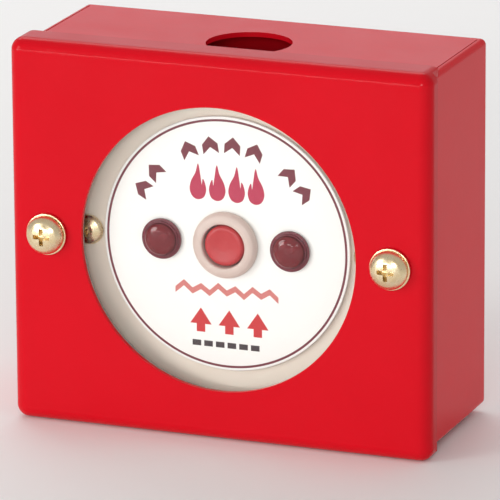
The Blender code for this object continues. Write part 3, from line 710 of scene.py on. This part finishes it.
def label():
    """The printed disc: a thin ring, chevrons round the top, flames, a crack line, arrows and dashes."""
    disc = lathe("label_face", [(0.0, LABEL_FRONT), (LABEL_RADIUS, LABEL_FRONT), (LABEL_RADIUS, LABEL_HIGH.y),
                                (0.0, LABEL_HIGH.y)], edge=0.2, steps=160)
    holes = [(0.0, BARREL_RADIUS), (-LAMP_X, LAMP_HOLE_RADIUS), (LAMP_X, LAMP_HOLE_RADIUS)]
    through = (LABEL_FRONT - 1.0, LABEL_HIGH.y + 1.0)
    carve(disc, [drill(radius, through, (x, 0.0), 64) for x, radius in holes])
    finish_piece(soften(disc, 0.06, 2), "main", LABEL_FILM, ["label_disc"])
    outer = RING_RADIUS + RING_WIDTH
    ring = lathe("printed_ring", [(RING_RADIUS, LABEL_FRONT + SINK), (outer, LABEL_FRONT + SINK),
                                  (outer, LABEL_FRONT - PRINT), (RING_RADIUS, LABEL_FRONT - PRINT)],
                 edge=0.0, steps=160, ring=True)
    finish_piece(ring, "main", INK_MAROON)
    chevron = [(-1.7, -1.9), (0.0, -0.5), (1.7, -1.9), (1.7, 0.1), (0.0, 1.7), (-1.7, 0.1)]
    for number, degrees in enumerate(CHEVRON_DEGREES, 1):
        angle = math.radians(degrees)
        centre = (CHEVRON_RADIUS * math.cos(angle), CHEVRON_RADIUS * math.sin(angle))
        outline = turned_points(chevron, centre, angle - math.pi / 2, CHEVRON_SIZE)
        print_shape(f"printed_chevron_{number}", outline, INK_MAROON)
    for number in range(FLAME_COUNT):
        middle = FLAME_START + number * FLAME_PITCH
        # every second flame leans the other way
        tongue = FLAME if number % 2 == 0 else [(-x, z) for x, z in reversed(FLAME)]
        stops = [(middle + x * FLAME_WIDTH, FLAME_Z + z * FLAME_HEIGHT) for x, z in tongue]
        print_shape(f"printed_flame_{number + 1}", closed_curve(stops), INK_CRIMSON)
    upper, lower = [], []
    for step in range(CRACK_TEETH + 1):
        x = -CRACK_HALF_LENGTH + 2 * CRACK_HALF_LENGTH * step / CRACK_TEETH
        swing = CRACK_SWING if step % 2 else -CRACK_SWING
        # the teeth vary a little in height, as a crack's do
        z = CRACK_Z + swing * (0.75 + 0.25 * math.sin(step * 1.7))
        upper.append((x, z + CRACK_HALF_WIDTH))
        lower.append((x, z - CRACK_HALF_WIDTH))
    print_shape("printed_crack_line", upper + lower[::-1], INK_PALE)
    arrow = [(-8.4, -20.6), (-4.6, -16.6), (-0.8, -20.6), (-3.1, -20.6), (-3.1, -22.6), (-6.1, -22.6),
             (-6.1, -20.6)]
    for number, shift in enumerate(ARROW_SHIFTS, 1):
        outline = [(x * ARROW_SQUEEZE + shift, z + 0.2) for x, z in arrow]
        print_shape(f"printed_arrow_{number}", outline, INK_RED)
    for number in range(DASH_COUNT):
        left = DASH_START + number * DASH_PITCH
        right = left + DASH_LENGTH
        outline = [(left, DASH_LOW), (right, DASH_LOW), (right, DASH_HIGH), (left, DASH_HIGH)]
        print_shape(f"printed_dash_{number + 1}", outline, INK_DARK)


def fascia():
    """The white plate, its label and the two screws that hold it."""
    keep_node("fascia_plate", PLATE_PAINT, 0.2, 3)
    label()
    for side, word in SIDES:
        low, high = box_mm(f"fascia_screw_{word}")
        x, head, seat = side * FASCIA_SCREW_X, low.y, low.y + 1.9
        screw = lathe(f"fascia_screw_head_{word}",
                      [(0.0, head), (1.6, head + 0.05), (3.1, head + 0.6), (3.7, head + 1.4),
                       (3.7, seat), (0.0, seat)], (x, 0.0), 0.3, 56)
        carve(screw, cross_cutters((x, 0.0), head, 0.9, 3.4, 1.1))
        finish_piece(soften(screw, 0.08), "main", YELLOW, [f"fascia_screw_{word}"])
        shank = threaded(f"fascia_screw_thread_{word}", (x, 0.0), (seat - 0.1, high.y), 1.5, 1.2, 0.5)
        finish_piece(shank, "main", YELLOW)


def lamps():
    """Each lamp: a domed clear red lens with moulded rings, its shell and barrel, and the die inside."""
    for side, word in SIDES:
        low, high = box_mm(f"lamp_{word}")
        x, front, back = side * LAMP_X, low.y, high.y
        flange = LABEL_FRONT - 0.3
        lens = lathe(f"lamp_lens_{word}",
                     [(0.0, front), (1.2, front + 0.06), (2.4, front + 0.24), (3.4, front + 0.62),
                      (3.85, front + 1.05), (3.95, flange - 0.3), (3.3, flange - 0.3), (2.6, front + 1.2),
                      (1.4, front + 0.9), (0.0, front + 0.8)], (x, 0.0), 0.12, 72)
        finish_piece(lens, "main", LENS, [f"lamp_{word}"])
        shell = lathe(f"lamp_shell_{word}",
                      [(4.05, flange - 1.1), (4.4, flange - 1.1), (4.4, flange - 0.6), (5.0, flange - 0.6),
                       (5.0, flange), (4.4, flange), (4.4, back), (0.0, back), (0.0, flange + 1.6),
                       (2.2, flange + 0.8), (3.2, flange - 0.2), (4.05, flange - 0.2)], (x, 0.0), 0.1, 72)
        finish_piece(shell, "main", LAMP_SHELL)
        die = lathe(f"lamp_die_{word}",
                    [(0.0, flange - 0.9), (0.5, flange - 0.85), (0.8, flange - 0.5), (0.85, flange + 1.4),
                     (0.0, flange + 1.5)], (x, 0.0), 0.1, 32)
        finish_piece(die, "main", BUTTON)
        nut(f"lamp_hex_nut_{word}", f"lamp_nut_{word}", (x, 0.0), LAMP_HOLE_RADIUS)


def button():
    """The collar and barrel, the sprung red cap with its shallow dish, the spring and the stem clip."""
    low, high = box_mm("button_barrel")
    front, back = low.y, high.y
    seat = LABEL_FRONT - 0.3
    collar = lathe("collar_and_barrel",
                   [(5.7, front), (6.6, front), (7.5, front + 0.35), (8.1, front + 1.1), (8.2, seat),
                    (6.6, seat), (6.6, back), (1.8, back), (1.8, back - 1.5), (5.4, back - 1.5),
                    (5.4, front + 0.3)], edge=0.3, steps=96, ring=True)
    finish_piece(collar, "main", COLLAR, ["button_barrel"])
    nut("barrel_hex_nut", "barrel_nut", (0.0, 0.0), BARREL_RADIUS)
    cap_low, cap_high = box_mm("push_button")
    cap, stem_end = cap_low.y, cap_high.y
    groove = back + 0.2
    piece = lathe("button_cap_and_stem",
                  [(0.0, cap + 0.4), (1.5, cap + 0.36), (3.0, cap + 0.16), (4.0, cap), (4.5, cap + 0.08),
                   (4.9, cap + 0.5), (5.05, cap + 1.1), (5.05, cap + 3.4), (1.5, cap + 3.4), (1.5, groove),
                   (1.0, groove), (1.0, groove + 1.0), (1.5, groove + 1.0), (1.5, stem_end - 0.3),
                   (1.2, stem_end), (0.0, stem_end)], edge=0.2, steps=72)
    finish_piece(piece, "button", BUTTON, ["push_button"])
    keep_node("stem_clip", ZINC, 0.05)
    spring()


def spring():
    """The return spring, drawn at rest. The real one shortens by the button's travel as the button goes in.
    """
    low, high = box_mm("button_spring")
    wire, coil, turns, per_turn = 0.35, 3.8, 5, 28
    first, last = low.y + wire, high.y - wire
    points = []
    for step in range(turns * per_turn + 1):
        share = step / (turns * per_turn)
        # the rise eases in and out, so that the end turns lie flat
        eased = share - math.sin(2 * math.pi * share) / (2 * math.pi) * 0.75
        angle = 2 * math.pi * turns * share
        points.append((coil * math.cos(angle), first + (last - first) * eased, coil * math.sin(angle)))
    coil_piece = tube("return_spring", points, wire)
    finish_piece(coil_piece, "main", STEEL_WIRE, ["button_spring"])
    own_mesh(coil_piece)


# ---- fasteners on the cover ----------------------------------------------------------------------
def cover_screws():
    """Each cover screw: a pan head with a cross recess and a cut thread, on its washer."""
    for side, word in SIDES:
        x = side * COVER_SCREW_X
        washer_low, washer_high = box_mm(f"cover_washer_{word}")
        washer = lathe(f"plain_washer_{word}",
                       [(5.1, washer_low.y), (5.1, washer_high.y), (2.8, washer_high.y), (2.8, washer_low.y)],
                       (x, 0.0), 0.16, 72, ring=True)
        finish_piece(washer, f"washer_{word}", YELLOW, [f"cover_washer_{word}"])
        low, high = box_mm(f"cover_screw_{word}")
        front, end = low.y, high.y
        seat = washer_low.y - 0.3
        head = lathe(f"pan_head_{word}",
                     [(0.0, front), (1.2, front + 0.03), (2.5, front + 0.22), (3.6, front + 0.75),
                      (4.4, front + 1.65), (4.75, seat - 0.45), (4.7, seat), (0.0, seat)],
                     (x, 0.0), 0.35, 80)
        carve(head, cross_cutters((x, 0.0), front, 1.25, 5.2, 1.8))
        finish_piece(soften(head, 0.12, 2, 45.0), f"screw_{word}", YELLOW,
                     [f"cover_screw_{word}"])
        shank = threaded(f"machine_thread_{word}", (x, 0.0), (seat - 0.2, end), 2.4, 1.95, 0.8, 0.7)
        finish_piece(shank, f"screw_{word}", YELLOW)


def glazing():
    """The glass, its foam gasket, and the four clips and nuts that hold it."""
    low, high = box_mm("glass_disc")
    radius = round(high.x, 3)
    disc = lathe("glass_pane", [(0.0, low.y), (radius, low.y), (radius, high.y), (0.0, high.y)],
                 edge=0.15, steps=144)
    finish_piece(disc, "cover", GLASS, ["glass_disc"])
    keep_node("glass_gasket", FOAM, 0.1)
    for number in (1, 2, 3, 4):
        keep_node(f"glass_clip_{number}", ZINC, 0.1)
        nut_low, nut_high = box_mm(f"clip_nut_{number}")
        centre = ((nut_low.x + nut_high.x) / 2, (nut_low.z + nut_high.z) / 2)
        nut(f"clip_hex_nut_{number}", f"clip_nut_{number}", centre, STUD_RADIUS + 0.3, "cover")


# ---- inside --------------------------------------------------------------------------------------
PLAIN_NODES = [
    (ZINC, ["cover_pillar_left", "cover_pillar_right", "fascia_pillar_left", "fascia_pillar_right",
            "switch_bracket", "bracket_rivet_1", "bracket_rivet_2", "switch_screw_left",
            "switch_screw_right", "switch_nut_left", "switch_nut_right", "board_pillar_1",
            "board_pillar_2", "board_screw_1", "board_screw_2"]),
    (BRASS, ["terminal_screw_1", "terminal_screw_2", "terminal_screw_3", "terminal_screw_4",
             "earth_stud", "earth_nut"]),
    (BLACK, ["switch_body"]),
    (WHITE_PLASTIC, ["switch_plunger"]),
    (MASK, ["circuit_board"]),
    (TERMINAL, ["terminal_block"]),
    (RESISTOR, ["line_resistor"]),
    (WIRE_RED, ["lamp_wire_left", "switch_wire_left"]),
    (WIRE_BLACK, ["lamp_wire_right", "switch_wire_right"]),
]


def strip_outline(stops, width):
    """The outline of a flat strip along stops, with mitred bends."""
    stops = [Vector(stop) for stop in stops]
    left, right = [], []
    for index, here in enumerate(stops):
        before = (here - stops[index - 1]).normalized() if index else None
        after = (stops[index + 1] - here).normalized() if index < len(stops) - 1 else None
        heading = ((before or after) + (after or before)).normalized()
        across = Vector((-heading.y, heading.x))
        reach = width / 2 / max(0.4, heading.dot(after or before))
        left.append(tuple(here + across * reach))
        right.append(tuple(here - across * reach))
    return left + right[::-1]


# copper tracks on the board, as stops in x and z
TRACKS = [
    [(-8.2, -24.6), (-8.2, -22.0), (-20.0, -22.0)],
    [(-2.8, -24.6), (-2.8, -20.0), (-5.8, -17.0)],
    [(2.8, -24.6), (2.8, -21.5), (6.0, -18.3), (6.0, -13.5)],
    [(8.2, -24.6), (8.2, -23.0), (19.2, -23.0)],
    [(-20.0, -20.8), (-20.0, -17.8)],
    [(-11.0, -12.8), (-11.0, -14.2), (-6.6, -14.2), (-6.6, -16.2)],
    [(11.0, -12.8), (11.0, -14.2), (13.6, -14.2), (13.6, -18.5)],
    [(20.0, -23.2), (20.0, -27.0)],
]
TRACK_WIDTH = 0.9
# places on the board, in x and z
SOLDER_JOINTS = [(-20.0, -22.0), (20.0, -22.0), (-11.0, -12.0), (11.0, -12.0), (-20.0, -17.0), (-6.0, -17.0)]
CHIP_RESISTORS = [(-16.0, -12.5), (-1.5, -12.5), (14.6, -19.6)]
CAPACITOR = (20.0, -29.5)
BANDS_START, BANDS_LENGTH = -15.6, 5.2  # the resistor's straight body, along x


def board_detail():
    """Tracks, soldered joints and a few small parts on the circuit board."""
    front = box_mm("circuit_board")[0].y
    for number, stops in enumerate(TRACKS, 1):
        print_shape(f"board_track_{number}", strip_outline(stops, TRACK_WIDTH), MASK_OVER_COPPER,
                    front)
    cone = [(0.0, front - 0.95), (0.62, front - 0.9), (0.8, front - 0.55), (1.3, front - 0.1),
            (1.5, front - 0.01), (0.0, front - 0.01)]
    for number, centre in enumerate(SOLDER_JOINTS, 1):
        joint = lathe(f"solder_joint_{number}", cone, centre, 0.2, 40)
        finish_piece(joint, "main", SOLDER)
    chip = block("driver_chip", (4.4, front - 1.9, -19.0), (10.8, front - 0.25, -15.2), 0.18, 3)
    finish_piece(shade(chip), "main", BLACK)
    for row, z in enumerate((-19.6, -14.6)):
        for number in range(4):
            x = 5.2 + number * 1.6
            low, high = sorted((z, z + (0.75 if row == 0 else -0.75)))
            leg = block(f"chip_leg_{row}_{number}", (x - 0.2, front - 0.9, low),
                        (x + 0.2, front - 0.02, high), 0.1, 2)
            finish_piece(shade(leg), "main", SOLDER)
    can = lathe("smoothing_capacitor",
                [(0.0, front - 7.2), (2.1, front - 7.2), (2.6, front - 6.9), (2.6, front - 1.9),
                 (2.35, front - 1.6), (2.6, front - 1.3), (2.6, front - 0.1), (0.0, front - 0.1)],
                CAPACITOR, 0.25, 64)
    finish_piece(can, "main", BLACK)
    top = lathe("capacitor_top", [(0.0, front - 7.3), (1.9, front - 7.3), (2.0, front - 7.15),
                                  (0.0, front - 7.1)], CAPACITOR, 0.04, 56)
    finish_piece(carve(top, cross_cutters(CAPACITOR, front - 7.3, 0.25, 3.4, 0.1)), "main", ZINC)
    for number, (x, z) in enumerate(CHIP_RESISTORS, 1):
        body = block(f"chip_resistor_{number}", (x - 1.0, front - 0.6, z - 0.6),
                     (x + 1.0, front - 0.03, z + 0.6), 0.08, 2)
        finish_piece(shade(body), "main", BLACK)
        for side in (-1, 1):
            low, high = sorted((x + side * 0.8, x + side * 1.25))
            cap = block(f"chip_end_{number}_{side}", (low, front - 0.66, z - 0.65),
                        (high, front - 0.02, z + 0.65), 0.08, 2)
            finish_piece(shade(cap), "main", SOLDER)


def switch_detail():
    """Blades with soldered wires at the switch's ends, and the colour bands on the resistor."""
    for side, word in SIDES:
        low, high = sorted((side * 9.7, side * 12.6))
        blade = block(f"switch_blade_{word}", (low, -16.2, -0.55), (high, -13.4, -0.1), 0.12, 2)
        finish_piece(shade(blade), "main", BRASS)
        blob = lathe(f"blade_solder_{word}", [(0.0, -16.0), (0.75, -15.8), (1.05, -15.1), (1.05, -14.5),
                                              (0.75, -13.9), (0.0, -13.7)], (side * 11.2, 0.35), 0.3, 40)
        finish_piece(blob, "main", SOLDER)
    low, high = box_mm("line_resistor")
    lead_y, lead_z = low.y + 1.2, (low.z + high.z) / 2
    bands = ((0.12, INK_MAROON), (0.34, INK_DARK), (0.56, INK_RED), (0.86, YELLOW))
    for number, (share, ink) in enumerate(bands, 1):
        x = BANDS_START + BANDS_LENGTH * share
        band = lathe(f"resistor_band_{number}", [(1.19, x - 0.25), (1.24, x - 0.25), (1.24, x + 0.25),
                                                 (1.19, x + 0.25)], (0.0, 0.0), 0.0, 40, ring=True)
        # turned about Y at the origin, then laid along X on the resistor's body
        for vertex in band.data.vertices:
            across, along, up = vertex.co
            vertex.co = (along, lead_y * MM + across, lead_z * MM + up)
        finish_piece(band, "main", ink)


def inside():
    """The CAD's own inner pieces with better finishes, and the small detail on them."""
    for material, nodes in PLAIN_NODES:
        for node in nodes:
            keep_node(node, material, 0.08)
    board_detail()
    switch_detail()


# ---- stage ---------------------------------------------------------------------------------------
FLOOR_GAP = 0.05
FLOOR_HALF_WIDTH = 2500.0
FLOOR_FRONT, FLOOR_STEP, CURVE_START, CURVE_RADIUS = -2500.0, 320.0, 1340.0, 700.0
FLAT_STEPS = CURVE_STEPS = 12


def stage():
    """The floor: flat in front, then one wide curve up to a wall far behind."""
    floor_z = COVER_LOW.z - FLOOR_GAP
    bm = bmesh.new()
    rows = []
    for x in (-FLOOR_HALF_WIDTH, FLOOR_HALF_WIDTH):
        row = []
        for step in range(FLAT_STEPS + CURVE_STEPS + 1):
            y, z = FLOOR_FRONT + step * FLOOR_STEP, 0.0
            if step >= FLAT_STEPS:
                angle = math.pi / 2 * (step - FLAT_STEPS) / CURVE_STEPS
                y = CURVE_START + CURVE_RADIUS * math.sin(angle)
                z = CURVE_RADIUS * (1 - math.cos(angle))
            row.append(bm.verts.new(Vector((x, y, floor_z + z)) * MM))
        rows.append(row)
    for step in range(FLAT_STEPS + CURVE_STEPS):
        bm.faces.new([rows[0][step], rows[1][step], rows[1][step + 1], rows[0][step + 1]])
    floor = shade(add_object("studio_floor", mesh_of(bm, "studio_floor")), 60.0)
    floor.data.materials.append(backdrop_paint("floor_paint"))


def light(name, place, target, size, power, colour=(1.0, 1.0, 1.0)):
    """A soft rectangular light in metres and watts, aimed at the target."""
    data = bpy.data.lights.new(name, "AREA")
    data.shape = "RECTANGLE"
    data.size, data.size_y = size
    data.energy = power
    data.color = colour
    made = add_object(name, data)
    made.location = place
    made.rotation_euler = (Vector(target) - Vector(place)).to_track_quat("-Z", "Y").to_euler()


def lighting():
    """A key from the left, a strip that draws the folds, fill and glow lights, and a pale world."""
    light("key_left", (-1.0, -1.15, 0.5), (0, 0, 0), (0.5, 0.6), 5.6, (1.0, 0.99, 0.97))
    light("front_strip", (-0.45, -1.15, 0.1), (0, 0, 0), (1.2, 0.08), 4.5)
    light("right_fill", (0.42, -1.3, 0.42), (0, 0, 0), (0.3, 0.2), 3.6)
    light("floor_glow", (-0.35, 0.55, 0.75), (-0.3, 0.45, -0.05), (0.8, 0.45), 3.0)
    light("back_glow", (-0.75, 1.2, 0.5), (0, 0, 0), (1.6, 0.5), 1.15, (1.0, 0.82, 0.92))
    world = bpy.data.worlds.new("studio_world")
    bpy.context.scene.world = world
    world.use_nodes = True
    background = world.node_tree.nodes["Background"]
    background.inputs["Color"].default_value = (1.0, 0.995, 0.985, 1.0)
    background.inputs["Strength"].default_value = 0.5


CAMERA_TARGET = Vector((8.36, COVER_FRONT, 1.06)) * MM
CAMERA_AZIMUTH, CAMERA_ELEVATION, CAMERA_ROLL = (math.radians(a) for a in (21.343, 16.21, -0.365))
CAMERA_DISTANCE = 1.3905
CAMERA_LENS = 422.8


def camera():
    """A long lens at the photographed object's viewing angle."""
    az, el, roll = CAMERA_AZIMUTH, CAMERA_ELEVATION, CAMERA_ROLL
    back = Vector((math.sin(az) * math.cos(el), -math.cos(az) * math.cos(el), math.sin(el)))
    right = Vector((math.cos(az), math.sin(az), 0.0))
    up = right.cross(-back)
    right, up = (math.cos(roll) * right + math.sin(roll) * up,
                 -math.sin(roll) * right + math.cos(roll) * up)
    data = bpy.data.cameras.new("photo_angle")
    data.lens = CAMERA_LENS
    data.sensor_width = 36.0
    data.clip_end = 20.0
    made = add_object("photo_angle", data)
    turn = Matrix((right, up, back)).transposed().to_4x4()
    made.matrix_world = Matrix.Translation(CAMERA_TARGET + CAMERA_DISTANCE * back) @ turn
    bpy.context.scene.camera = made


bpy.context.scene.view_settings.view_transform = "Standard"
camera()
lighting()
stage()
cover()
back_box()
fascia()
lamps()
button()
cover_screws()
glazing()
inside()
